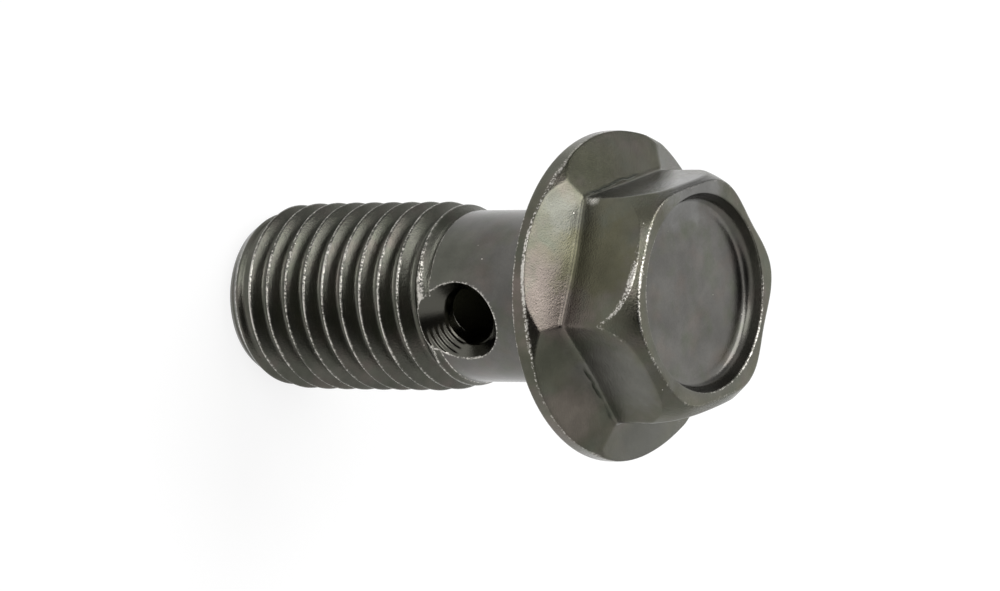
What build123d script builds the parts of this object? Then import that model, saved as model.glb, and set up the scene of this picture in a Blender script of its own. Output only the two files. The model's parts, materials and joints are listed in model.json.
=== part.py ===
from build123d import *
from math import atan2, cos, degrees, radians, tan
import os

# Banjo bolt: a flanged hexagon bolt with a drilled core and a cross hole that feeds it.
#
# The bolt stands on its threaded end with the head up.  The origin is the centre of the
# seat under the head, +Z runs along the axis towards the head, and the cross hole runs
# along X.  It is forged, turned and drilled from one piece of bar, so it is one solid.

# ---------------------------------------------------------------- sizes, millimetres
# Shank and thread
length_under_head = 22.2
thread_diameter = 9.97
thread_length = 13.2
runout_length = 0.9
shank_diameter = 9.0
end_chamfer = 0.87
under_head_fillet = 0.4

# Flange: a six-sided flare trimmed round, with a flat seat underneath.  Its six faces run
# out to flange_edge_height at the middle of each flat; a round bevel at rim_bevel_angle from
# level trims them near the corners, where the rim is flange_rim_height high.
flange_diameter = 17.1
flange_edge_height = 0.7
flange_rim_height = 0.88
rim_bevel_angle = 42.0
flare_top_height = 1.75
flare_fillet = 0.25
seat_edge_fillet = 0.15

# Hexagon head.  One corner stands hexagon_turn degrees away from the cross hole.  The arc
# that rounds the corners starts below the top face and a little outside the corners.
across_flats = 11.85
head_height = 6.0
hexagon_turn = -5.2
top_face_diameter = 11.3
corner_round_depth = 2.75
corner_round_clearance = 0.04

# Dish in the top of the head
dish_diameter = 10.2
dish_depth = 0.9
dish_wall_angle = 15.0
dish_floor_fillet = 0.5

# Drilled passages.  The core's full diameter overruns the cross hole, so that the drill's
# point doesn't narrow it.  The countersink's diameter is taken level with the shank's side.
bore_diameter = 5.5
bore_entry_chamfer = 0.3
bore_overrun = 0.4
drill_point_angle = 118.0
cross_hole_diameter = 3.0
cross_hole_depth_under_head = 6.8
countersink_diameter = 5.05
countersink_angle = 82.0

# ---------------------------------------------------------------- worked-out sizes
tip_z = -length_under_head
thread_end_z = tip_z + thread_length
shank_end_z = thread_end_z + runout_length
shank_radius = shank_diameter / 2
thread_radius = thread_diameter / 2

flange_radius = flange_diameter / 2
flare_rise = flare_top_height - flange_edge_height
flare_taper = degrees(atan2(flange_radius - across_flats / 2, flare_rise))
bevel_reach = (flare_top_height - flange_rim_height) / tan(radians(rim_bevel_angle))

top_face_radius = top_face_diameter / 2
corner_radius = across_flats / 2 / cos(radians(30))
round_start_radius = corner_radius + corner_round_clearance
round_start_z = head_height - corner_round_depth

dish_radius = dish_diameter / 2
dish_floor_z = head_height - dish_depth
dish_floor_radius = dish_radius - dish_depth * tan(radians(dish_wall_angle))

bore_radius = bore_diameter / 2
cross_hole_z = -cross_hole_depth_under_head
cross_hole_radius = cross_hole_diameter / 2
bore_end_z = cross_hole_z + cross_hole_radius + bore_overrun
drill_point_z = bore_end_z + bore_radius / tan(radians(drill_point_angle / 2))

countersink_slope = tan(radians(countersink_angle / 2))
countersink_foot = shank_radius - (countersink_diameter / 2 - cross_hole_radius) / countersink_slope
countersink_mouth_radius = cross_hole_radius + (thread_radius - countersink_foot) * countersink_slope

# How far off its height an edge may lie and still be picked for a fillet
edge_pick_range = 0.01


def edges_at_height(part, height):
    """The edges of a part that lie level at this height."""
    return part.edges().filter_by_position(
        Axis.Z, height - edge_pick_range, height + edge_pick_range)


# ---------------------------------------------------------------- flange
# The rim's top line rises from the middle of each flat to flange_rim_height, and the round
# bevel takes the ridges between the flare's faces down to it below each corner.
with BuildPart() as flange:
    with BuildSketch():
        RegularPolygon(flange_radius, 6, major_radius=False, rotation=hexagon_turn)
    extrude(amount=flange_edge_height)
    with BuildSketch(Plane.XY.offset(flange_edge_height)):
        RegularPolygon(flange_radius, 6, major_radius=False, rotation=hexagon_turn)
    extrude(amount=flare_rise, taper=flare_taper)
    with BuildSketch(Plane.XZ):
        Polygon((0, 0), (flange_radius, 0), (flange_radius, flange_rim_height),
                (flange_radius - bevel_reach, flare_top_height), (0, flare_top_height), align=None)
    revolve(axis=Axis.Z, mode=Mode.INTERSECT)
    fillet(edges_at_height(flange, 0), radius=seat_edge_fillet)

# ---------------------------------------------------------------- bolt
with BuildPart() as banjo_bolt:
    # Hexagon, with its upper corners rounded over by one turned arc
    with BuildSketch():
        RegularPolygon(across_flats / 2, 6, major_radius=False, rotation=hexagon_turn)
    extrude(amount=head_height)
    with BuildSketch(Plane.XZ):
        with BuildLine():
            Polyline((top_face_radius, head_height), (0, head_height), (0, 0),
                     (round_start_radius, 0), (round_start_radius, round_start_z))
            TangentArc((round_start_radius, round_start_z), (top_face_radius, head_height),
                       tangent=(0, 1))
        make_face()
    revolve(axis=Axis.Z, mode=Mode.INTERSECT)

    # Flange, blended into the flats
    add(flange.part)
    fillet(edges_at_height(banjo_bolt, flare_top_height), radius=flare_fillet)

    # Shank, thread run-out and thread blank at the thread's outer diameter
    with BuildSketch(Plane.XZ):
        with BuildLine():
            Polyline((0, 0), (shank_radius, 0), (shank_radius, shank_end_z),
                     (thread_radius, thread_end_z), (thread_radius, tip_z + end_chamfer),
                     (thread_radius - end_chamfer, tip_z), (0, tip_z), close=True)
        make_face()
    revolve(axis=Axis.Z)
    seat_corner = edges_at_height(banjo_bolt, 0).filter_by(GeomType.CIRCLE).sort_by(
        SortBy.RADIUS)[0]
    fillet(seat_corner, radius=under_head_fillet)

    # Dish forged into the top of the head
    with BuildSketch(Plane.XZ) as dish_profile:
        Polygon((0, head_height), (0, dish_floor_z), (dish_floor_radius, dish_floor_z),
                (dish_radius, head_height), align=None)
        floor_corner = dish_profile.vertices().group_by(Axis.Z)[0].sort_by(Axis.X)[-1]
        fillet(floor_corner, radius=dish_floor_fillet)
    revolve(axis=Axis.Z, mode=Mode.SUBTRACT)

    # Core drilled from the tip, ending in the drill's own point past the cross hole
    with BuildSketch(Plane.XZ):
        Polygon((0, tip_z), (bore_radius + bore_entry_chamfer, tip_z),
                (bore_radius, tip_z + bore_entry_chamfer), (bore_radius, bore_end_z),
                (0, drill_point_z), align=None)
    revolve(axis=Axis.Z, mode=Mode.SUBTRACT)

    # Cross hole, drilled right through both walls and countersunk at each mouth
    with BuildSketch(Plane.XZ):
        with Locations((0, cross_hole_z)):
            Polygon((-thread_radius, 0), (-thread_radius, countersink_mouth_radius),
                    (-countersink_foot, cross_hole_radius), (countersink_foot, cross_hole_radius),
                    (thread_radius, countersink_mouth_radius), (thread_radius, 0), align=None)
    revolve(axis=Axis((0, 0, cross_hole_z), (1, 0, 0)), mode=Mode.SUBTRACT)

banjo_bolt.part.label = "banjo_bolt"
os.makedirs("parts", exist_ok=True)
export_step(banjo_bolt.part, "parts/banjo_bolt.step")
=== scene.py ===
"""Banjo bolt: the plated forging, its rolled thread and its drilled passages.

The bolt is one piece of steel, so it is one closed mesh.  Rings of points run out over the
dished head, down the hexagon, the flange and the shank to the tip, and up the drilled core.
A Geometry Nodes tree then rolls the thread into this blank and drills the cross hole.
"""
import json
import math
import bmesh
import bpy
import numpy as np
from mathutils import Matrix, Vector


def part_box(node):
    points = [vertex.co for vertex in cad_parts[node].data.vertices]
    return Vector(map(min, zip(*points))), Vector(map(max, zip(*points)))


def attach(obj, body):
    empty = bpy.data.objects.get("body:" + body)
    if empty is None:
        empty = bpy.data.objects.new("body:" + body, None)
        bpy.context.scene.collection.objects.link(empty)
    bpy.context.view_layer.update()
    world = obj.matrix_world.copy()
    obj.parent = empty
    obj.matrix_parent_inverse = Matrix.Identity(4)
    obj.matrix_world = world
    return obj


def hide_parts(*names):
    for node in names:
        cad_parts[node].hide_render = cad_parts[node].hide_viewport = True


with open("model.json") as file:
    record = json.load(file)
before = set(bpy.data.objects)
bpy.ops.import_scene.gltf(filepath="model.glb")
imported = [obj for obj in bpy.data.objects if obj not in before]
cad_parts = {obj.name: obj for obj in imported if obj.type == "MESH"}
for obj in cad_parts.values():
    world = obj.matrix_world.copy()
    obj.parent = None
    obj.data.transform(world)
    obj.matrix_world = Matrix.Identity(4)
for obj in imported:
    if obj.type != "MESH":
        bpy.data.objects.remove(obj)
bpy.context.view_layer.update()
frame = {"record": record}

# ---------------------------------------------------------------- sizes, millimetres
MM = 0.001
NODE = "banjo_bolt"
node_low, node_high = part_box(NODE)
mounts = {mount["name"]: mount for mount in frame["record"]["mounts"]}

tip_z = node_low.z / MM
head_height = node_high.z / MM
flange_radius = node_high.x / MM
crest_radius = mounts["thread"]["dims"]["r_mm"]
bore_radius = mounts["fluid_bore"]["dims"]["r_mm"]
cross_radius = mounts["cross_hole"]["dims"]["r_mm"]
cross_z = mounts["cross_hole"]["pos_m"][2] / MM

# Hexagon, with one turned arc over its corners
across_flats = 11.85
half_flats = across_flats / 2
hexagon_turn = math.radians(-5.2)
corner_sharpness = 100
corner_round_depth = 2.75
corner_round_clearance = 0.04

# Top face and dish, both a little off the axis
top_face_radius = 5.65
top_face_corner_bulge = 0.12
top_face_far_lobes = 0.32
top_face_shift = 0.15
top_face_shift_angle = math.radians(-75)
dish_radius = 5.1
dish_floor_radius = 4.86
dish_depth = 0.9
dish_shift = 0.16
dish_shift_angle = math.radians(-108)

# Flare and flange.  The ridges between the flare's faces are crisp on one side of the head.
# They are soft where the cosine to that side is small, and a blend lies between.
flange_edge_height = 0.70
flange_rim_height = 0.88
rim_bevel_slope = math.tan(math.radians(42))
least_bevel = 0.03
flare_top = 1.75
flare_root_bow = 0.12
ridge_sharpness = 25
soft_ridge_sharpness = 3.6
crisp_ridges_angle = math.radians(-35)
soft_ridges_cosine, ridge_blend = 0.3, 0.5

# How far each edge's rounding reaches to either side of it
round_dish_floor = 0.42
round_dish_rim = 0.07
round_top_edge = 0.11
round_arc_line = 0.12
round_flare_root = 0.22
round_rim_bevel = 0.10
round_rim_top = 0.13
round_rim_bottom = 0.15
round_under_head = 0.4

# Shank and thread
shank_radius = 4.5
shank_start_z = -2.5 * round_under_head
pitch = 1.25
root_radius = 4.27
crest_half_flat = 0.045
flank_width = 0.438
crest_rounding = 0.03
root_rounding = 0.10
tip_radius = 4.1
tip_slope = 0.58
lead_in_depth = 0.55
lead_in_length = 1.0
first_crest_z = -8.92
full_thread_z = -10.65
runout_z = -8.25
groove_start_z = -8.44
groove_full_z = -8.54

# Passages.  The crests beside the cross hole are sunk, by their distance from its axis.  The
# core's wall is what lies within its skin, up to its headroom over the core's end.
bore_chamfer = 0.3
bore_past_hole = 0.4
bore_end_z = cross_z + cross_radius + bore_past_hole
drill_point_half_angle = math.radians(118 / 2)
countersink_slope = math.tan(math.radians(82 / 2))
countersink_mouth = 5.05
countersink_foot = shank_radius - (countersink_mouth / 2 - cross_radius) / countersink_slope
sunk_crest_reach = 2.5
full_crest_reach = 3.2
sunk_crest_share = 0.3
core_skin = 0.06
core_headroom = 2.0

# The forged surfaces' unevenness, which starts just above the seat
forging_unevenness = 0.04
swells_per_metre = 420.0
swell_middle = 0.55
even_height = 0.1
uneven_height = 0.5

# Wear on the head's edges, as (amount, middle of the side that has it, sharpness)
least_handling = 0.45
# These two sides add a painted highlight along the edges, on top of the wear.
handling_and_highlight_side = (0.9, math.radians(-25), 8)
arc_line_wear_and_highlight_side = (1.0, math.radians(-22), 12)
dish_rim_side = (0.6, math.radians(130), 2)
arc_line_falloff = 30
tip_wear = 0.2
bore_mouth_wear = 0.6

# Bright marks on the thread: wear on the crests plus a painted highlight on one side, wider
# on one side of the first crest, and wear on the groove's first line and the countersinks' rims
crest_wear_least = 0.55
crest_highlight_added = 0.85
crest_highlight_side, crest_highlight_sharpness = math.radians(-15), 4.0
crest_mark_width = 0.12
crest_mark_core = 0.03
first_crest_side, first_crest_sharpness = math.radians(-27), 16.0
first_crest_mark_start, first_crest_mark_full = 0.65, 0.35
first_crest_added_width = 0.16
first_crest_added_highlight = 0.5
unworn_tip = 0.3
worn_past_tip = 0.8
line_mark_width = 0.07
rim_mark_width = 0.16
rim_mark_core = 0.02

# Mesh.  A rounding takes at most a share of the legs beside it, and its edge value fades at
# its two ends.
sectors = 6
columns = 192
corner_crowding = 0.78
round_steps = 4
most_rounded_share = 0.45
edge_fade = 0.5
shank_rows = 48
run_out_row_gap = 0.04
core_row_height = 0.3
tip_face_gap = 0.06
tip_face_ring = 3.6
drill_columns = 144
drill_reach = 6.0
drill_ring_step = 0.12
thread_row_offsets = (0.0, 0.06, 0.10, 0.19, 0.29, 0.39, 0.45, 0.51, 0.57)
merge_distance = 0.002


# ---------------------------------------------------------------- the bolt's skin
class Skin:
    """The bolt's points and faces.  Every point carries two values: edge, from 0 to a little
    over 1, where handling rubs the plating and where a painted highlight lies on an edge, and
    rolled, which is 1 on the blank that the thread rollers shape."""

    def __init__(self):
        self.points = np.empty((0, 3))
        self.values = np.empty((0, 2))
        self.faces = []

    def add(self, radius, angle, height, edge=0.0, rolled=0.0):
        """Adds points by radius, angle and height, and returns their numbers in one array."""
        radius, angle, height, edge, rolled = np.broadcast_arrays(
            radius, angle, height, edge, rolled)
        place = np.stack([radius * np.cos(angle), radius * np.sin(angle), height], axis=-1)
        values = np.stack([edge, rolled], axis=-1).astype(float)
        numbers = len(self.points) + np.arange(radius.size).reshape(radius.shape)
        self.points = np.vstack([self.points, place.reshape(-1, 3)])
        self.values = np.vstack([self.values, values.reshape(-1, 2)])
        return numbers

    def fill(self, grid):
        """Fills a stack of closed rings."""
        cells = np.stack([grid[:-1], grid[1:], np.roll(grid[1:], -1, axis=1),
                          np.roll(grid[:-1], -1, axis=1)], axis=-1)
        self.faces.append(cells.reshape(-1, 4))

    def mesh(self, name):
        """The skin as a closed mesh in metres, its doubles merged and its faces outwards."""
        cells = np.vstack(self.faces)
        mesh = bpy.data.meshes.new(name)
        mesh.from_pydata(self.points.tolist(), [], cells.tolist())
        for column, value in enumerate(("edge", "rolled")):
            mesh.attributes.new(value, "FLOAT", "POINT").data.foreach_set(
                "value", self.values[:, column])
        work = bmesh.new()
        work.from_mesh(mesh)
        bmesh.ops.remove_doubles(work, verts=work.verts, dist=merge_distance)
        bmesh.ops.recalc_face_normals(work, faces=work.faces)
        bmesh.ops.scale(work, vec=(MM, MM, MM), verts=work.verts)
        work.to_mesh(mesh)
        work.free()
        mesh.shade_smooth()
        return mesh


def even_angles():
    """Angles of evenly spaced columns, with one on the cross hole's axis."""
    step = 2 * np.pi / columns
    return (round(hexagon_turn / step) + np.arange(columns)) * step


def crowded_angles():
    """Angles of the head's columns, crowded towards the hexagon's corners."""
    sector, along = np.divmod(np.arange(columns) * sectors / columns, 1.0)
    along -= corner_crowding * np.sin(2 * np.pi * along) / (2 * np.pi)
    return hexagon_turn + (sector + along) * 2 * np.pi / sectors


def hexagon_middle(angle):
    """1 at each flat's middle and 0 at the corners."""
    return np.sin(sectors * (angle - hexagon_turn) / 2) ** 2


def hexagon_share(angle, sharpness):
    """Cosine of the angle to the nearest flat's middle, softened where two flats meet."""
    middles = hexagon_turn + (np.arange(sectors) + 0.5) * 2 * np.pi / sectors
    cosines = np.maximum(np.cos(angle[:, None] - middles), 0)
    return (cosines ** sharpness).sum(axis=1) ** (1 / np.ravel(sharpness))


# ---------------------------------------------------------------- profiles
def spot(radius, height):
    """A profile point, (radius, height), for each column."""
    return np.stack(np.broadcast_arrays(radius, height, np.zeros(columns))[:2], axis=-1)


def straight(start, end):
    """A straight leg of the profile: a function of the share run, and its length."""
    length = np.linalg.norm(end - start, axis=1)[:, None]
    return (lambda share: start + (end - start) * share), length


def arc(centre, radius, start_angle, end_angle):
    """A leg of the profile that follows a circle."""
    turn = end_angle - start_angle

    def along(share):
        angle = start_angle + turn * np.ravel(share)
        return centre + radius[:, None] * np.stack([np.cos(angle), np.sin(angle)], axis=-1)
    return along, np.abs(turn * radius)[:, None]


def run_profile(legs):
    """Rows of profile points along legs of ((along, length), steps, rounding, edge value),
    where rounding and edge value belong to the corner at the leg's end.  Each row comes with
    its edge value and with its place, counted in legs."""
    rows, edges, places = [], [], []
    reach_before, edge_before = 0.0, 0.0
    for number, ((along, length), steps, reach_after, edge_after) in enumerate(legs):
        start = np.minimum(reach_before / length, most_rounded_share)
        end = 1 - np.minimum(reach_after / length, most_rounded_share)
        for step in range(steps + 1):
            eased = (1 - math.cos(math.pi * step / steps)) / 2
            rows.append(along(start + (end - start) * eased))
            edges.append(edge_fade * (edge_before if step == 0 else edge_after * (step == steps)))
            places.append(number + eased)
        if number + 1 < len(legs):
            corner = along(np.ones_like(length))
            (next_along, next_length), *_ = legs[number + 1]
            leave = next_along(np.minimum(reach_after / next_length, most_rounded_share))
            arrive = rows[-1]
            for step in range(1, round_steps):
                share = step / round_steps
                rows.append((1 - share) ** 2 * arrive + 2 * share * (1 - share) * corner
                            + share ** 2 * leave)
                edges.append(edge_after)
                places.append(number + 1.0)
        reach_before, edge_before = reach_after, edge_after
    return np.array(rows), np.array(edges), np.array(places)


def side_weighted(angle, amount, side, sharpness):
    """Brightening of the edges by that amount in the middle of one side, falling to 0 away from
    it.
    """
    return amount * np.maximum(np.cos(angle - side), 0) ** sharpness


def head_rows(skin):
    """The head, flange and start of the shank, as rings from the dish's centre."""
    crowded, even = crowded_angles(), even_angles()
    flat_reach = half_flats / hexagon_share(crowded, corner_sharpness)
    corner_reach = half_flats / math.cos(math.pi / sectors) + corner_round_clearance
    top_reach = (top_face_radius
                 + top_face_corner_bulge * np.cos(sectors * (crowded - hexagon_turn))
                 + top_face_shift * np.cos(crowded - top_face_shift_angle))
    # The far side's corners filled the die better, so the top face reaches out to them.
    to_far_side = (1 - np.cos(crowded - hexagon_turn)) / 2
    top_reach += top_face_far_lobes * to_far_side * (1 - hexagon_middle(crowded))

    # The shoulder's arc runs from the top face's edge to upright, just outside the corners.
    overhang = corner_reach - top_reach
    arc_radius = (overhang ** 2 + corner_round_depth ** 2) / (2 * overhang)
    arc_centre = spot(corner_reach - arc_radius, head_height - corner_round_depth)
    arc_start = np.arctan2(corner_round_depth, top_reach - arc_centre[:, 0])
    arc_end = np.arccos(np.minimum((flat_reach - arc_centre[:, 0]) / arc_radius, 1.0))
    arc_foot = arc_centre[:, 1] + arc_radius * np.sin(arc_end)

    # The flare's six faces slope from the hexagon to the rim.  A bevel trims them near the
    # corners, where they would reach the rim higher up.
    slope = (flare_top - flange_edge_height) / (flange_radius - half_flats)
    to_crisp_side = np.cos(crowded - crisp_ridges_angle)
    crisp = np.clip((to_crisp_side - soft_ridges_cosine) / ridge_blend, 0, 1)
    sharpness = soft_ridge_sharpness + (ridge_sharpness - soft_ridge_sharpness) * crisp
    face_slope = hexagon_share(crowded, sharpness[:, None]) * slope
    face_edge_z = flare_top - (flange_radius - flat_reach) * face_slope
    trimmed = np.maximum(face_edge_z - flange_rim_height, least_bevel)
    bevel_width = trimmed / (rim_bevel_slope - face_slope)
    bevel_z = face_edge_z + bevel_width * face_slope

    dish_floor_z = head_height - dish_depth
    dish_offset = dish_shift * np.cos(crowded - dish_shift_angle)
    dish_edge = spot(dish_floor_radius + dish_offset, dish_floor_z)
    dish_rim = spot(dish_radius + dish_offset, head_height)
    top_edge = spot(top_reach, head_height)
    root_z = flare_top + flare_root_bow * hexagon_middle(crowded)
    flare_root = spot(flat_reach, root_z)
    bevel_top = spot(flange_radius - bevel_width, bevel_z)
    rim_top = spot(flange_radius, face_edge_z - trimmed)
    rim_bottom = spot(flange_radius, 0.0)
    seat_inside = spot(shank_radius, 0.0)

    # Legs from the dish's centre to the shank, each with its steps, and with the rounding and
    # the edge value at its end
    legs = [
        (straight(spot(0.0, dish_floor_z), dish_edge), 10, round_dish_floor, 0.0),
        (straight(dish_edge, dish_rim), 4, round_dish_rim, 0.55),
        (straight(dish_rim, top_edge), 4, round_top_edge, 0.8),
        (arc(arc_centre, arc_radius, arc_start, arc_end), 12, round_arc_line, 0.0),
        (straight(spot(flat_reach, arc_foot), flare_root), 7, round_flare_root, 0.0),
        (straight(flare_root, bevel_top), 8, round_rim_bevel, 0.0),
        (straight(bevel_top, rim_top), 3, round_rim_top, 1.15),
        (straight(rim_top, rim_bottom), 4, round_rim_bottom, 0.6),
        (straight(rim_bottom, seat_inside), 8, round_under_head, 0.0),
        (straight(seat_inside, spot(shank_radius, shank_start_z)), 2, 0.0, 0.0),
    ]
    dish_rim_place, arc_line_place, seat_leg = 2, 4, 8
    rows, edges, places = run_profile(legs)

    # The columns are crowded down to the seat and even below it.
    relaxed = np.clip(places - seat_leg, 0, 1)[:, None]
    angles = crowded + (even - crowded) * relaxed
    # Edge wear, brightened by a painted highlight on the sides set above.
    edge_wear_and_highlight = edges[:, None] * (least_handling + side_weighted(crowded, *handling_and_highlight_side))
    by_arc_line = np.maximum(1 - np.abs(places - arc_line_place), 0)[:, None]
    edge_wear_and_highlight += by_arc_line ** arc_line_falloff * side_weighted(crowded, *arc_line_wear_and_highlight_side)
    edge_wear_and_highlight += (places == dish_rim_place)[:, None] * side_weighted(crowded, *dish_rim_side)
    return skin.add(rows[..., 0], angles, rows[..., 1], edge=edge_wear_and_highlight)


def thread_blank(skin, top_z):
    """The blank that the thread is rolled on.  Its rows climb with the thread, so that crests,
    flanks and roots each follow a row of points."""
    half = np.array(thread_row_offsets)
    offsets = np.concatenate([half, [pitch / 2], pitch - half[:0:-1]])
    angles = even_angles()
    crest = first_crest_z + pitch * angles / (2 * np.pi)
    first = math.floor((crest[0] - top_z) / pitch)
    last = math.ceil((crest[-1] - tip_z) / pitch)
    below = (np.arange(first, last + 1)[:, None] * pitch + offsets).ravel()
    height = np.clip(crest - below[:, None], tip_z, top_z)
    grid = skin.add(shank_radius, angles, height, rolled=1.0)
    inner = np.stack([grid[:-1, :-1], grid[1:, :-1], grid[1:, 1:], grid[:-1, 1:]], axis=-1)
    skin.faces.append(inner.reshape(-1, 4))
    # The last column joins the first one a turn further up.
    row = np.arange(len(grid) - 1)
    up_one_turn = np.maximum(row - len(offsets), 0)
    seam = np.stack([grid[row, -1], grid[row + 1, -1],
                     grid[np.maximum(row + 1 - len(offsets), 0), 0], grid[up_one_turn, 0]],
                    axis=-1)
    skin.faces.append(seam)


def bolt_skin():
    """The bolt before rolling and cross drilling: its shank is a smooth blank."""
    skin = Skin()
    angles = even_angles()
    skin.fill(head_rows(skin))
    line_rows = groove_start_z + run_out_row_gap * np.array([1, 0])
    shank_z = np.append(
        np.linspace(shank_start_z, line_rows[0] + run_out_row_gap, shank_rows), line_rows)
    skin.fill(skin.add(shank_radius, angles, shank_z[:, None], rolled=1.0))
    thread_blank(skin, groove_start_z)

    # The tip's face and the core, as (radius, height, edge value).  The thread rollers shape
    # only the outer ring.
    drill_point_z = bore_end_z + bore_radius / math.tan(drill_point_half_angle)
    core = [
        (tip_radius - tip_face_gap, tip_z, tip_wear), (tip_face_ring, tip_z, 0.0),
        (bore_radius + bore_chamfer, tip_z, bore_mouth_wear),
        (bore_radius, tip_z + bore_chamfer, 0.0), (bore_radius, bore_end_z, 0.0),
        (0.0, drill_point_z, 0.0),
    ]
    rings = [(shank_radius, tip_z, tip_wear, 1.0)]
    for (radius, height, edge), (next_radius, next_height, _) in zip(core, core[1:]):
        run = math.hypot(next_radius - radius, next_height - height)
        steps = max(1, math.ceil(run / core_row_height))
        for step in range(steps):
            share = step / steps
            rings.append((radius + (next_radius - radius) * share,
                          height + (next_height - height) * share, edge * (step == 0), 0.0))
    rings.append((*core[-1], 0.0))
    radius, height, edge, rolled = np.array(rings).T[..., None]
    skin.fill(skin.add(radius, angles, height, edge=edge, rolled=rolled))
    return skin


def drill_mesh():
    """The cross hole's drill and its two countersinks, as one turned solid along X."""
    mouth = np.arange(countersink_foot, drill_reach, drill_ring_step)
    inside = np.arange(0.0, countersink_foot, drill_ring_step)
    half = np.concatenate([inside, mouth])
    x = np.concatenate([-half[:0:-1], half])
    radius = cross_radius + np.maximum(np.abs(x) - countersink_foot, 0) * countersink_slope
    turn = np.arange(drill_columns) * 2 * np.pi / drill_columns
    rings = np.stack(np.broadcast_arrays(
        x[:, None], radius[:, None] * np.cos(turn), cross_z + radius[:, None] * np.sin(turn)),
        axis=-1)
    numbers = np.arange(rings.shape[0] * drill_columns).reshape(-1, drill_columns)
    after = np.roll(numbers, -1, axis=1)
    walls = np.stack([numbers[:-1], after[:-1], after[1:], numbers[1:]], axis=-1)
    caps = [numbers[0, ::-1].tolist(), numbers[-1].tolist()]
    mesh = bpy.data.meshes.new("cross_drill")
    mesh.from_pydata((rings.reshape(-1, 3) * MM).tolist(), [],
                     walls.reshape(-1, 4).tolist() + caps)
    drilled = mesh.attributes.new("drilled", "FLOAT", "FACE")
    drilled.data.foreach_set("value", np.ones(len(mesh.polygons)))
    mesh.shade_smooth()
    return mesh


# ---------------------------------------------------------------- node trees
class Tree:
    """Shorthand for building a node tree."""

    def __init__(self, tree):
        self.tree = tree

    def node(self, kind, inputs=None, **settings):
        """A node with its settings, and with values or links on its inputs."""
        node = self.tree.nodes.new(kind)
        for name, value in settings.items():
            setattr(node, name, value)
        for socket, value in (inputs or {}).items():
            self.put(node.inputs[socket], value)
        return node

    def put(self, socket, value):
        """Sets a socket's value, or links it if the value is another node's output."""
        if isinstance(value, bpy.types.NodeSocket):
            self.tree.links.new(value, socket)
        else:
            socket.default_value = value

    def math(self, operation, *values):
        """One Math node's output."""
        return self.node("ShaderNodeMath", dict(enumerate(values)),
                         operation=operation).outputs[0]

    def vector(self, operation, *values, **others):
        """One Vector Math node's output, which is a number for some operations."""
        node = self.node("ShaderNodeVectorMath", {**dict(enumerate(values)), **others},
                         operation=operation)
        is_number = operation in ("LENGTH", "DISTANCE", "DOT_PRODUCT")
        return node.outputs["Value" if is_number else "Vector"]

    def split(self, vector):
        """A vector's parts, by name."""
        return self.node("ShaderNodeSeparateXYZ", {0: vector}).outputs

    def join(self, **parts):
        """A vector from its parts, with 0 for those not named."""
        return self.node("ShaderNodeCombineXYZ", parts).outputs[0]

    def ramp(self, value, start, end, low=0.0, high=1.0, smooth=False):
        """A number that goes from low to high while the value goes from start to end."""
        return self.node("ShaderNodeMapRange", {
            "Value": value, "From Min": start, "From Max": end, "To Min": low, "To Max": high},
            interpolation_type="SMOOTHSTEP" if smooth else "LINEAR").outputs[0]

    def noise(self, place, scale, detail, roughness=0.5):
        """A soft random pattern from 0 to 1."""
        return self.node("ShaderNodeTexNoise", {
            "Vector": place, "Scale": scale, "Detail": detail,
            "Roughness": roughness}).outputs[0]

    def socket(self, name, direction, kind, value=None):
        """Adds a named socket to the tree's interface."""
        item = self.tree.interface.new_socket(name, in_out=direction, socket_type=kind)
        if value is not None:
            item.default_value = value
        return item


def from_hole_axis(tree, parts, hole_height):
    """The way to a point from the cross hole's axis."""
    return tree.join(Y=parts["Y"], Z=tree.math("SUBTRACT", parts["Z"], hole_height))


def from_bolt_axis(tree, parts):
    """The way to a point from the bolt's axis."""
    return tree.join(X=parts["X"], Y=parts["Y"])


# ---------------------------------------------------------------- the thread's tree
def carried_value(tree, name):
    """A value that the mesh carries under that name."""
    return tree.node("GeometryNodeInputNamedAttribute", {"Name": name},
                     data_type="FLOAT").outputs["Attribute"]


def with_edge_value(tree, geometry, value):
    """The geometry with its edge values raised to at least a value."""
    raised = tree.math("MAXIMUM", carried_value(tree, "edge"), value)
    return tree.node("GeometryNodeStoreNamedAttribute", {
        "Geometry": geometry, "Name": "edge", "Value": raised},
        data_type="FLOAT", domain="POINT").outputs[0]


def thread_profile(tree, given, from_crest, above_tip):
    """The full thread's radius, at a distance along the bolt from the nearest crest."""
    # The first crests behind the tip are not full.
    behind = tree.math("DIVIDE", above_tip, tree.math("MULTIPLY", given["Lead-in length"], -1.0))
    lead_in = tree.math("MULTIPLY", given["Lead-in depth"], tree.math("EXPONENT", behind))
    crest = tree.math("SUBTRACT", given["Crest radius"], lead_in)
    depth = tree.math("SUBTRACT", given["Crest radius"], given["Root radius"])
    steepness = tree.math("DIVIDE", depth, given["Flank width"])
    down_flank = tree.math("MULTIPLY", steepness,
                           tree.math("SUBTRACT", from_crest, given["Crest half flat"]))
    flank = tree.math("SUBTRACT", crest, down_flank)
    topped = tree.math("SMOOTH_MIN", flank, crest, given["Crest rounding"])
    return tree.math("SMOOTH_MAX", topped, given["Root radius"], given["Root rounding"])


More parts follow.
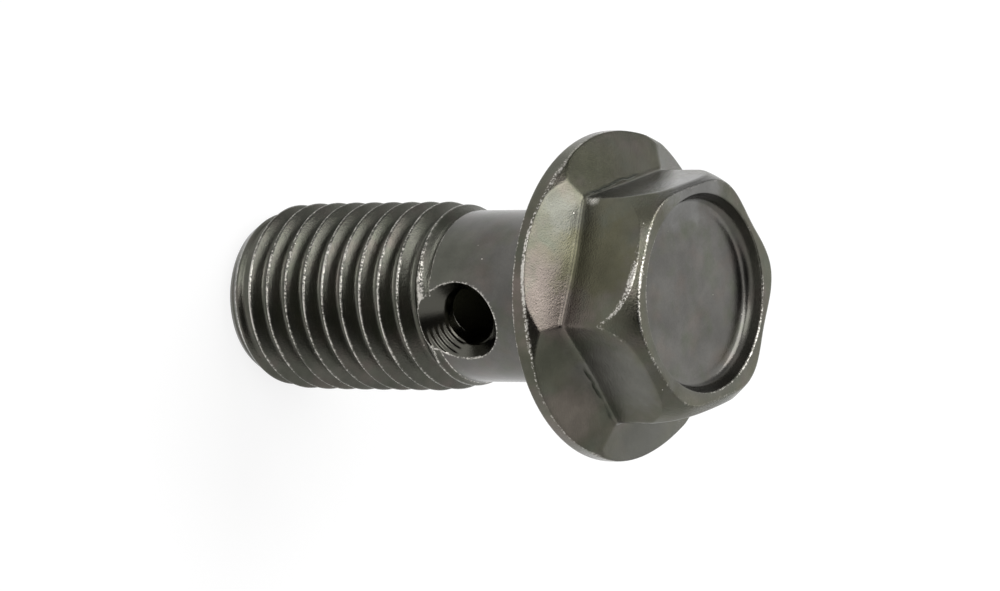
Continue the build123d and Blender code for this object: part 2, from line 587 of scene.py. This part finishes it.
def rolled_place(tree, given, place, parts, from_crest, above_tip):
    """Where the rollers move a point of the blank."""
    # Towards the shank and beside the cross hole the crests fade out, and the groove stops
    # short at a line.
    filled = tree.ramp(parts["Z"], given["Run-out height"], given["Full thread height"])
    off_hole = tree.vector("LENGTH", from_hole_axis(tree, parts, given["Hole height"]))
    sunk = tree.ramp(off_hole, sunk_crest_reach * MM, full_crest_reach * MM,
                     low=sunk_crest_share, smooth=True)
    formed = tree.math("MULTIPLY", tree.math("SQRT", filled), sunk)
    grooved = tree.ramp(parts["Z"], given["Groove start height"], given["Groove full height"],
                        smooth=True)
    profile = thread_profile(tree, given, from_crest, above_tip)
    from_blank = tree.math("SUBTRACT", profile, given["Blank radius"])
    ridge = tree.math("MULTIPLY", tree.math("MAXIMUM", from_blank, 0.0), formed)
    groove = tree.math("MULTIPLY", tree.math("MINIMUM", from_blank, 0.0), grooved)
    rise = tree.math("ADD", ridge, groove)
    rolled_radius = tree.math("ADD", given["Blank radius"], rise)
    chamfer = tree.math("MULTIPLY_ADD", above_tip, tip_slope, given["Tip radius"])
    finished = tree.math("SMOOTH_MIN", rolled_radius, chamfer, given["Crest rounding"])
    moved = tree.math("SUBTRACT", finished, given["Blank radius"])
    outward = tree.vector("NORMALIZE", from_bolt_axis(tree, parts))
    return tree.vector("ADD", place, tree.vector("SCALE", outward, Scale=moved))


def thread_marks(tree, given, threaded, parts, angle, from_crest, above_tip):
    """Edge values on the crests, the groove's first line and the countersinks' rims."""
    def turned_to(side, sharpness):
        """1 on that side of the bolt, falling to 0 away from it."""
        facing = tree.math("COSINE", tree.math("SUBTRACT", angle, side))
        return tree.math("POWER", tree.math("MAXIMUM", facing, 0.0), sharpness)

    on_first = tree.ramp(parts["Z"], (first_crest_z - first_crest_mark_start) * MM,
                         (first_crest_z - first_crest_mark_full) * MM)
    widened = tree.math("MULTIPLY", on_first,
                        turned_to(first_crest_side, first_crest_sharpness))
    mark_width = tree.math("MULTIPLY_ADD", widened, first_crest_added_width * MM,
                           crest_mark_width * MM)
    near_crest = tree.ramp(from_crest, mark_width, crest_mark_core * MM)
    # Crest wear, with a painted highlight added on one side and widened on the first crest.
    crest_wear_and_highlight = tree.math("MULTIPLY_ADD", turned_to(crest_highlight_side, crest_highlight_sharpness),
                        crest_highlight_added, crest_wear_least)
    crest_wear_and_highlight = tree.math("MULTIPLY_ADD", widened, first_crest_added_highlight, crest_wear_and_highlight)
    on_thread = tree.ramp(parts["Z"], groove_start_z * MM, groove_full_z * MM)
    off_tip = tree.ramp(above_tip, unworn_tip * MM, worn_past_tip * MM)
    on_thread = tree.math("MULTIPLY", on_thread, off_tip)
    crest_mark = tree.math("MULTIPLY", tree.math("MULTIPLY", near_crest, crest_wear_and_highlight), on_thread)

    off_line = tree.math("SUBTRACT", parts["Z"], given["Groove start height"])
    line_mark = tree.ramp(tree.math("ABSOLUTE", off_line), line_mark_width * MM, 0.0)

    spots = tree.split(threaded)
    reach = tree.vector("LENGTH", from_hole_axis(tree, spots, given["Hole height"]))
    up_cone = tree.math("DIVIDE", tree.math("SUBTRACT", reach, given["Hole radius"]),
                        countersink_slope)
    cone_depth = tree.math("ADD", given["Countersink foot"], up_cone)
    off_cone = tree.math("SUBTRACT", cone_depth, tree.math("ABSOLUTE", spots["X"]))
    rim_mark = tree.ramp(tree.math("ABSOLUTE", off_cone), rim_mark_width * MM,
                         rim_mark_core * MM)
    marks = tree.math("MAXIMUM", crest_mark, tree.math("MAXIMUM", line_mark, rim_mark))
    return tree.math("MULTIPLY", marks, carried_value(tree, "rolled"))


def forging_swell(tree, given, place, parts):
    """How far the hammered surfaces are pushed out or in: not the seat, the thread or the
    drilled walls."""
    hammered = tree.ramp(parts["Z"], even_height * MM, uneven_height * MM)
    swell = tree.noise(place, swells_per_metre, 2.0)
    lift = tree.math("MULTIPLY", tree.math("SUBTRACT", swell, swell_middle),
                     given["Forging unevenness"])
    lift = tree.math("MULTIPLY", lift, hammered)
    normal = tree.node("GeometryNodeInputNormal").outputs[0]
    return tree.vector("SCALE", normal, Scale=lift)


def thread_tree():
    """Geometry Nodes that roll the thread into the blank, drill the cross hole and give the
    forging its slight unevenness."""
    tree = Tree(bpy.data.node_groups.new("Roll the thread", "GeometryNodeTree"))
    tree.socket("Geometry", "INPUT", "NodeSocketGeometry")
    sizes = {
        "Blank radius": shank_radius, "Crest radius": crest_radius,
        "Root radius": root_radius, "Pitch": pitch, "First crest height": first_crest_z,
        "Crest half flat": crest_half_flat, "Flank width": flank_width,
        "Full thread height": full_thread_z, "Run-out height": runout_z,
        "Groove start height": groove_start_z, "Groove full height": groove_full_z,
        "Hole height": cross_z, "Hole radius": cross_radius,
        "Countersink foot": countersink_foot, "Tip radius": tip_radius,
        "Tip height": tip_z, "Crest rounding": crest_rounding,
        "Root rounding": root_rounding, "Lead-in depth": lead_in_depth,
        "Lead-in length": lead_in_length, "Forging unevenness": forging_unevenness,
    }
    sockets = {name: tree.socket(name, "INPUT", "NodeSocketFloat") for name in sizes}
    tree.socket("Drill", "INPUT", "NodeSocketObject")
    tree.socket("Material", "INPUT", "NodeSocketMaterial")
    tree.socket("Drilled material", "INPUT", "NodeSocketMaterial")
    tree.socket("Geometry", "OUTPUT", "NodeSocketGeometry")
    given = tree.node("NodeGroupInput").outputs

    place = tree.node("GeometryNodeInputPosition").outputs[0]
    parts = tree.split(place)
    angle = tree.math("ARCTAN2", parts["Y"], parts["X"])
    turns = tree.math("DIVIDE", angle, 2 * math.pi)
    below = tree.math("SUBTRACT", parts["Z"], given["First crest height"])
    climbed = tree.math("SUBTRACT", tree.math("DIVIDE", below, given["Pitch"]), turns)
    from_crest = tree.math("MULTIPLY", tree.math("PINGPONG", climbed, 0.5), given["Pitch"])
    above_tip = tree.math("SUBTRACT", parts["Z"], given["Tip height"])

    threaded = rolled_place(tree, given, place, parts, from_crest, above_tip)
    on_skin = tree.math("GREATER_THAN", carried_value(tree, "rolled"), 0.5)
    rolled = tree.node("GeometryNodeSetPosition", {
        "Geometry": given["Geometry"], "Selection": on_skin, "Position": threaded}).outputs[0]
    marks = thread_marks(tree, given, threaded, parts, angle, from_crest, above_tip)
    crested = with_edge_value(tree, rolled, marks)

    # The cross drill cuts through, and leaves an edge that is rubbed like the others.
    drill = tree.node("GeometryNodeObjectInfo", {"Object": given["Drill"]})
    cut = tree.node("GeometryNodeMeshBoolean", {
        "Mesh 1": crested, "Mesh 2": drill.outputs["Geometry"]},
        operation="DIFFERENCE", solver="EXACT")
    marked = with_edge_value(tree, cut.outputs["Mesh"], cut.outputs["Intersecting Edges"])
    uneven = tree.node("GeometryNodeSetPosition", {
        "Geometry": marked, "Offset": forging_swell(tree, given, place, parts)}).outputs[0]

    real = tree.node("GeometryNodeRealizeInstances", {"Geometry": uneven}).outputs[0]
    coated = tree.node("GeometryNodeSetMaterial", {
        "Geometry": real, "Material": given["Material"]}).outputs[0]
    from_axis = tree.vector("LENGTH", from_bolt_axis(tree, parts))
    in_core = tree.math("LESS_THAN", from_axis, (bore_radius + core_skin) * MM)
    in_core = tree.math("MULTIPLY", in_core, tree.math(
        "LESS_THAN", parts["Z"], (bore_end_z + core_headroom) * MM))
    inside = tree.math("MAXIMUM", in_core, carried_value(tree, "drilled"))
    ended = tree.node("GeometryNodeSetMaterial", {
        "Geometry": coated, "Selection": tree.math("GREATER_THAN", inside, 0.5),
        "Material": given["Drilled material"]}).outputs[0]
    tree.node("NodeGroupOutput", {"Geometry": ended})
    in_metres = {sockets[name].identifier: size * MM for name, size in sizes.items()}
    return tree.tree, in_metres


def roll_thread(blank, drill, material, drilled_material):
    """Runs the thread tree on the blank and returns the finished bolt as a plain mesh."""
    tree, sizes = thread_tree()
    modifier = blank.modifiers.new("Roll the thread", "NODES")
    modifier.node_group = tree
    materials = iter((material, drilled_material))
    for item in tree.interface.items_tree:
        if item.item_type != "SOCKET" or item.in_out != "INPUT":
            continue
        if item.identifier in sizes:
            modifier[item.identifier] = sizes[item.identifier]
        elif item.socket_type == "NodeSocketMaterial":
            modifier[item.identifier] = next(materials)
        elif item.socket_type == "NodeSocketObject":
            modifier[item.identifier] = drill
    bpy.context.view_layer.update()
    depsgraph = bpy.context.evaluated_depsgraph_get()
    mesh = bpy.data.meshes.new_from_object(blank.evaluated_get(depsgraph))
    bolt = bpy.data.objects.new("plated_bolt", mesh)
    bpy.context.scene.collection.objects.link(bolt)
    bpy.data.objects.remove(blank)
    bpy.data.objects.remove(drill)
    return bolt


# ---------------------------------------------------------------- finishes, millimetres
# Bare steel where edges are worn, also the colour of the painted edge highlights
bare_steel_and_highlight = (0.52, 0.50, 0.46, 1)
grain_size = 0.09
wear_stretch_size = 1.5
bump_height = 0.02
outside_start = shank_radius + 0.1
outside_full = dish_radius + 0.4
patch_wander = 1.6
patch_core = 0.35
fold_wander = 0.35
fold_core = 0.3
fold_end = 0.5
fold_start_off_flat, fold_full_off_flat = 0.02, 0.06
fold_lift = -2.0
countersink_blend = 0.05
tool_ring_pitch = 0.23
tool_ring_side = (0.0, 0.643, -0.766)
tool_ring_side_edge, tool_ring_side_core = 0.86, 0.94


def group(name):
    """An empty shader node group."""
    return Tree(bpy.data.node_groups.new(name, "ShaderNodeTree"))


def wear_and_highlight_group():
    """Where an edge is bright, from handling wear and from painted highlights: a faint line along
    the piece's edge values, broken into bright specks and stretches."""
    tree = group("Edge wear")
    tree.socket("Place", "INPUT", "NodeSocketVector")
    tree.socket("Stretch size", "INPUT", "NodeSocketFloat", 1.0)
    tree.socket("Speck size", "INPUT", "NodeSocketFloat", 0.1)
    tree.socket("Mask", "OUTPUT", "NodeSocketFloat")
    given = tree.node("NodeGroupInput").outputs
    edge = tree.node("ShaderNodeAttribute", attribute_name="edge").outputs["Fac"]

    def broken(size, detail):
        return tree.noise(given["Place"], tree.math("DIVIDE", 1.0, given[size]), detail)

    stretches = tree.ramp(broken("Stretch size", 2.0), 0.40, 0.66, low=0.10, high=0.6)
    specks = tree.ramp(broken("Speck size", 1.0), 0.42, 0.70, high=0.9)
    strength = tree.math("MULTIPLY", edge, tree.math("ADD", stretches, specks))
    tree.node("NodeGroupOutput", {"Mask": tree.ramp(strength, 0.25, 0.85)})
    return tree.tree


def grain_group():
    """Fine grain of plated steel: a mottled value for colour and gloss, and a height."""
    tree = group("Steel grain")
    tree.socket("Place", "INPUT", "NodeSocketVector")
    tree.socket("Size", "INPUT", "NodeSocketFloat", 0.1)
    tree.socket("Mottle", "OUTPUT", "NodeSocketFloat")
    tree.socket("Height", "OUTPUT", "NodeSocketFloat")
    given = tree.node("NodeGroupInput").outputs
    scale = tree.math("DIVIDE", 1.0, given["Size"])
    fine = tree.noise(given["Place"], scale, 3.0, roughness=0.6)
    coarse = tree.noise(given["Place"], tree.math("MULTIPLY", scale, 0.17), 2.0)
    mottle = tree.math("ADD", tree.math("MULTIPLY", fine, 0.65),
                       tree.math("MULTIPLY", coarse, 0.35))
    tree.node("NodeGroupOutput", {"Mottle": mottle, "Height": fine})
    return tree.tree


def new_material(name):
    """An empty node material, and its tree."""
    material = bpy.data.materials.new(name)
    material.use_nodes = True
    material.node_tree.nodes.clear()
    return material, Tree(material.node_tree)


def place_in_millimetres(tree):
    """Object coordinates in millimetres."""
    place = tree.node("ShaderNodeTexCoord").outputs["Object"]
    return tree.node("ShaderNodeMapping", {"Vector": place, "Scale": (1 / MM,) * 3}).outputs[0]


def mix(tree, factor, first, second):
    """A colour between two colours."""
    return tree.node("ShaderNodeMix", {"Factor": factor, 6: first, 7: second},
                     data_type="RGBA").outputs[2]


def patch_mask(tree, place, size, low, high, detail=3.0):
    """A mask of soft patches about that size, where a noise climbs from low to high."""
    return tree.ramp(tree.noise(place, 1 / size, detail), low, high)


def wear_and_highlight_mask(tree, place, wear_and_highlight_tree, speck_size):
    """Where the edges are bright, by wear and by painted highlight."""
    return tree.node("ShaderNodeGroup", {
        "Place": place, "Stretch size": wear_stretch_size, "Speck size": speck_size},
        node_tree=wear_and_highlight_tree).outputs["Mask"]


def metal(tree, colour, roughness, bump):
    """Ends a material's tree in bare or plated metal."""
    shader = tree.node("ShaderNodeBsdfPrincipled", {
        "Base Color": colour, "Roughness": roughness, "Metallic": 1.0,
        "Normal": bump.outputs[0]}).outputs[0]
    tree.node("ShaderNodeOutputMaterial", {"Surface": shader})


def soft_patch(tree, place, radius, angle, height, reach):
    """A soft-edged mask on the plating round one spot, given by its angle in degrees."""
    turn = math.radians(angle)
    centre = (radius * math.cos(turn), radius * math.sin(turn), height)
    away = tree.vector("DISTANCE", place, centre)
    ragged = tree.math("SUBTRACT", tree.noise(place, 0.8, 4.0, roughness=0.6), 0.5)
    away = tree.math("MULTIPLY_ADD", ragged, patch_wander * reach, away)
    return tree.ramp(away, reach, patch_core * reach, smooth=True)


def fold(tree, place, side, outward, start, end, width):
    """A ragged crack on the flare along the foot of one flat, where the forging folded over:
    that far outward of the flat, and from start to end along it."""
    turn = math.radians(side)
    across = tree.vector("DOT_PRODUCT", place, (math.cos(turn), math.sin(turn), 0.0))
    position = tree.vector("DOT_PRODUCT", place, (-math.sin(turn), math.cos(turn), 0.0))
    off_flat = tree.math("SUBTRACT", across, half_flats)
    ragged = tree.math("SUBTRACT", tree.noise(place, 0.9, 3.0), 0.5)
    away = tree.math("MULTIPLY_ADD", ragged, fold_wander,
                     tree.math("SUBTRACT", off_flat, outward))
    crack = tree.ramp(tree.math("ABSOLUTE", away), width, fold_core * width)
    span = tree.math("MULTIPLY", tree.ramp(position, start, start + fold_end),
                     tree.ramp(position, end, end - fold_end))
    on_flare = tree.ramp(off_flat, fold_start_off_flat, fold_full_off_flat)
    return tree.math("MULTIPLY", crack, tree.math("MULTIPLY", span, on_flare))


def outside_and_thread(tree, place):
    """Two masks: 1 on the head's outside, and 1 on the thread."""
    parts = tree.split(place)
    from_axis = tree.vector("LENGTH", from_bolt_axis(tree, parts))
    past_shank = tree.ramp(from_axis, outside_start, outside_full)
    threaded = tree.math("LESS_THAN", parts["Z"], groove_start_z)
    return tree.math("MULTIPLY", past_shank, tree.math("SUBTRACT", 1.0, threaded)), threaded


def coated_steel(wear_and_highlight_tree, grain):
    """Dark olive-grey plating on the forged and rolled skin, rubbed bright along its edges.  Some
    bright edges and a spot carry painted highlights, one patch a painted sheen, and the folds
    painted shade.
    """
    material, tree = new_material("dark plated steel")
    place = place_in_millimetres(tree)
    elsewhere = tree.node("ShaderNodeMapping", {
        "Vector": place, "Location": (7.0, 3.0, 11.0)}).outputs[0]
    grained = tree.node("ShaderNodeGroup", {
        "Place": place, "Size": grain_size}, node_tree=grain).outputs
    neutral = (0.104, 0.101, 0.094, 1)
    olive = (0.094, 0.092, 0.070, 1)
    greyed = (0.098, 0.098, 0.083, 1)
    green = (0.089, 0.094, 0.074, 1)
    brown = (0.116, 0.101, 0.090, 1)
    # Painted shade for the cracks of the folds.
    fold_painted_shade = (0.052, 0.055, 0.043, 1)
    outside, threaded = outside_and_thread(tree, place)
    colour = mix(tree, outside, neutral, olive)
    colour = mix(tree, threaded, colour, greyed)
    colour = mix(tree, patch_mask(tree, place, 1.3, 0.48, 0.75), colour, green)
    colour = mix(tree, patch_mask(tree, elsewhere, 1.6, 0.50, 0.80), colour, brown)

    # Stains and painted light, as (radius, angle in degrees, height, reach, tint)
    stains_and_painted_light = (
        (7.2, -18, 1.2, 3.2, (0.125, 0.107, 0.094, 1)),
        (7.0, -52, 1.2, 1.8, (0.103, 0.104, 0.089, 1)),
        (6.0, -38, 3.2, 3.0, (0.090, 0.087, 0.058, 1)),
        (7.8, -78, 1.0, 2.6, (0.078, 0.079, 0.056, 1)),
        (6.0, 25, 3.5, 3.2, (0.112, 0.111, 0.098, 1)),
        (7.5, 80, 1.0, 3.0, (0.084, 0.084, 0.070, 1)),
        (7.7, 8, 1.1, 1.7, (0.080, 0.082, 0.062, 1)),
        (7.8, 33, 1.0, 2.2, (0.128, 0.114, 0.096, 1)),
        (4.5, -45, -7.4, 2.4, (0.094, 0.095, 0.080, 1)),
        # A lighter patch on the top face's edge: painted sheen.
        (5.4, -100, head_height, 3.2, (0.136, 0.135, 0.130, 1)),
        # A small bright spot at the foot of one hexagon corner: a painted highlight.
        (6.8, -65.2, 2.3, 0.5, (0.45, 0.44, 0.40, 1)),
    )
    for *spot_and_reach, tint in stains_and_painted_light:
        colour = mix(tree, soft_patch(tree, place, *spot_and_reach), colour, tint)

    # Lighter and darker by the grain and in clouds, with bare specks, edges that are worn and
    # carry painted highlights, and the folds, darkened with painted shade
    grain_light = tree.ramp(grained["Mottle"], 0.3, 0.7, low=0.88, high=1.12)
    clouds = tree.math("MULTIPLY_ADD", patch_mask(tree, elsewhere, 2.0, 0.35, 0.65), 0.26, 0.87)
    colour = tree.vector("SCALE", colour, Scale=tree.math("MULTIPLY", grain_light, clouds))
    specks = patch_mask(tree, place, 0.16, 0.89, 0.91, detail=0.0)
    bright_edges = wear_and_highlight_mask(tree, place, wear_and_highlight_tree, speck_size=0.11)
    colour = mix(tree, tree.math("MAXIMUM", bright_edges, specks), colour, bare_steel_and_highlight)
    folds = tree.math(
        "MAXIMUM",
        fold(tree, place, side=-95.2, outward=0.20, start=-1.6, end=3.1, width=0.09),
        fold(tree, place, side=24.8, outward=0.08, start=-0.8, end=3.3, width=0.08))
    # The folds are darkened with painted shade, besides their bump.
    colour = mix(tree, folds, colour, fold_painted_shade)

    roughness = tree.ramp(grained["Mottle"], 0.3, 0.7, low=0.17, high=0.27)
    rougher = tree.math("MULTIPLY_ADD", tree.math("MAXIMUM", outside, threaded), 0.7, 0.3)
    height = tree.math("MULTIPLY_ADD", folds, fold_lift,
                       tree.math("MULTIPLY", grained["Height"], rougher))
    bump = tree.node("ShaderNodeBump", {
        "Height": height, "Strength": 0.75, "Distance": bump_height * MM})
    metal(tree, colour, roughness, bump)
    return material


def drilled_steel(wear_and_highlight_tree, grain):
    """Dark walls of the cross hole and the core.  The countersinks are smooth on one side and
    ringed by the tool on the other."""
    material, tree = new_material("drilled steel")
    place = place_in_millimetres(tree)
    parts = tree.split(place)
    depth = tree.math("ABSOLUTE", parts["X"])
    in_countersink = tree.ramp(depth, countersink_foot - countersink_blend,
                               countersink_foot + countersink_blend)
    grained = tree.node("ShaderNodeGroup", {
        "Place": place, "Size": grain_size}, node_tree=grain).outputs
    hole_wall = (0.130, 0.130, 0.105, 1)
    countersunk = (0.100, 0.098, 0.084, 1)
    colour = mix(tree, in_countersink, hole_wall, countersunk)
    bright_edges = wear_and_highlight_mask(tree, place, wear_and_highlight_tree, speck_size=0.09)
    colour = mix(tree, bright_edges, colour, bare_steel_and_highlight)

    wave = tree.math("SINE", tree.math("MULTIPLY", depth, 2 * math.pi / tool_ring_pitch))
    around = tree.vector("NORMALIZE", from_hole_axis(tree, parts, cross_z))
    lean = tree.vector("DOT_PRODUCT", around, tool_ring_side)
    ringed = tree.ramp(lean, tool_ring_side_edge, tool_ring_side_core)
    rings = tree.math("MULTIPLY", tree.math("MULTIPLY", wave, ringed), in_countersink)
    height = tree.math("ADD", rings, tree.math("MULTIPLY", grained["Height"], 0.3))
    bump = tree.node("ShaderNodeBump", {
        "Height": height, "Strength": 1.0, "Distance": bump_height * MM})
    metal(tree, colour, 0.20, bump)
    return material


# ---------------------------------------------------------------- stage
floor_reach = 2.0
floor_colour = (0.85, 0.85, 0.85, 1)
floor_seen_colour = (0.22, 0.22, 0.22, 1)
floor_glow = 0.83
room_light = 0.5
lamp_distance = 0.5


def white_floor():
    """A plain white floor under the tip.  The camera and gloss see it glow white over a darker
    colour, which keeps the bolt's soft shadow."""
    mesh = bpy.data.meshes.new("floor")
    corners = [(-1, -1), (1, -1), (1, 1), (-1, 1)]
    mesh.from_pydata([(x * floor_reach, y * floor_reach, tip_z * MM) for x, y in corners],
                     [], [(0, 1, 2, 3)])
    material, tree = new_material("white floor")
    paths = tree.node("ShaderNodeLightPath").outputs
    seen = tree.math("MAXIMUM", paths["Is Camera Ray"], paths["Is Glossy Ray"])
    shade = mix(tree, seen, floor_colour, floor_seen_colour)
    base = tree.node("ShaderNodeBsdfDiffuse", {"Color": shade}).outputs[0]
    glow = tree.node("ShaderNodeEmission", {
        "Strength": tree.math("MULTIPLY", seen, floor_glow)}).outputs[0]
    both = tree.node("ShaderNodeAddShader", {0: base, 1: glow}).outputs[0]
    tree.node("ShaderNodeOutputMaterial", {"Surface": both})
    mesh.materials.append(material)
    floor = bpy.data.objects.new("floor", mesh)
    bpy.context.scene.collection.objects.link(floor)


def studio_world():
    """Soft light from all round, white behind the bolt and in its gloss but for three dim
    areas, overhead and to the sides."""
    world = bpy.data.worlds.new("studio")
    bpy.context.scene.world = world
    world.use_nodes = True
    world.node_tree.nodes.clear()
    tree = Tree(world.node_tree)
    paths = tree.node("ShaderNodeLightPath").outputs
    direction = tree.node("ShaderNodeTexCoord").outputs["Generated"]

    # Dim areas, as (direction, cosine at the edge, cosine where it is full, change of light)
    dim_areas = (
        ((-0.55, -0.62, 0.56), 0.86, 0.97, -0.5),
        ((0.35, 0.05, 0.935), 0.83, 0.95, -0.88),
        ((0.68, 0.10, 0.726), 0.90, 0.97, -0.75),
    )
    glossy = 1.0
    for towards, edge, core, change in dim_areas:
        facing = tree.vector("DOT_PRODUCT", direction, Vector(towards).normalized())
        share = tree.ramp(facing, edge, core, smooth=True)
        glossy = tree.math("MULTIPLY", glossy, tree.math("MULTIPLY_ADD", share, change, 1.0))
    shown = tree.math("MULTIPLY", glossy, paths["Is Glossy Ray"])
    shown = tree.math("ADD", shown, paths["Is Camera Ray"])
    seen = tree.math("MAXIMUM", paths["Is Camera Ray"], paths["Is Glossy Ray"])
    soft = tree.math("MULTIPLY", tree.math("SUBTRACT", 1.0, seen), room_light)
    light = tree.node("ShaderNodeBackground", {
        "Strength": tree.math("ADD", shown, soft)}).outputs[0]
    tree.node("ShaderNodeOutputWorld", {"Surface": light})


def softbox(name, direction, size, radiance):
    """A square lamp that faces the bolt from a direction, as bright as that radiance."""
    data = bpy.data.lights.new(name, "AREA")
    data.size = size
    data.energy = radiance * math.pi * size * size
    lamp = bpy.data.objects.new(name, data)
    towards = Vector(direction).normalized()
    lamp.location = towards * lamp_distance
    lamp.rotation_euler = towards.to_track_quat("Z", "Y").to_euler()
    bpy.context.scene.collection.objects.link(lamp)


# ---------------------------------------------------------------- camera, millimetres
camera_distance = 329.0
camera_from_axis = math.radians(53.58)
camera_azimuth = math.radians(-18.4)
aim_along_right = -5.743
aim_along_down = -0.024
camera_lens = 229.2
camera_sensor = 36


def make_camera():
    """The camera looks down on the head from one side, rolled so that the bolt lies level."""
    sin_tilt, cos_tilt = math.sin(camera_from_axis), math.cos(camera_from_axis)
    sin_turn, cos_turn = math.sin(camera_azimuth), math.cos(camera_azimuth)
    towards = Vector((sin_tilt * cos_turn, sin_tilt * sin_turn, cos_tilt))
    right = Vector((-cos_tilt * cos_turn, -cos_tilt * sin_turn, sin_tilt))
    down = Vector((-sin_turn, cos_turn, 0))
    place = towards * camera_distance * MM
    aim = (right * aim_along_right + down * aim_along_down) * MM
    back = (place - aim).normalized()
    up = back.cross(right).normalized()
    data = bpy.data.cameras.new("camera")
    data.sensor_width = camera_sensor
    data.lens = camera_lens
    data.clip_start, data.clip_end = 0.01, 20
    camera = bpy.data.objects.new("camera", data)
    turned = Matrix((up.cross(back), up, back)).transposed().to_4x4()
    camera.matrix_world = Matrix.Translation(place) @ turned
    bpy.context.scene.collection.objects.link(camera)
    bpy.context.scene.camera = camera


# ---------------------------------------------------------------- the scene
wear_and_highlight_tree, grain = wear_and_highlight_group(), grain_group()
blank = bpy.data.objects.new("blank", bolt_skin().mesh("blank"))
drill = bpy.data.objects.new("drill", drill_mesh())
for helper in (blank, drill):
    bpy.context.scene.collection.objects.link(helper)
bolt = roll_thread(blank, drill, coated_steel(wear_and_highlight_tree, grain), drilled_steel(wear_and_highlight_tree, grain))
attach(bolt, "root")
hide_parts(NODE)

white_floor()
studio_world()
softbox("overhead softbox", (-0.25, -0.35, 0.90), size=0.34, radiance=4.2)
softbox("low softbox", (0.515, -0.63, 0.58), size=0.30, radiance=2.2)
softbox("wide softbox", (-0.76, 0.25, 0.59), size=0.52, radiance=0.5)
make_camera()
bpy.context.scene.view_settings.view_transform = "Standard"
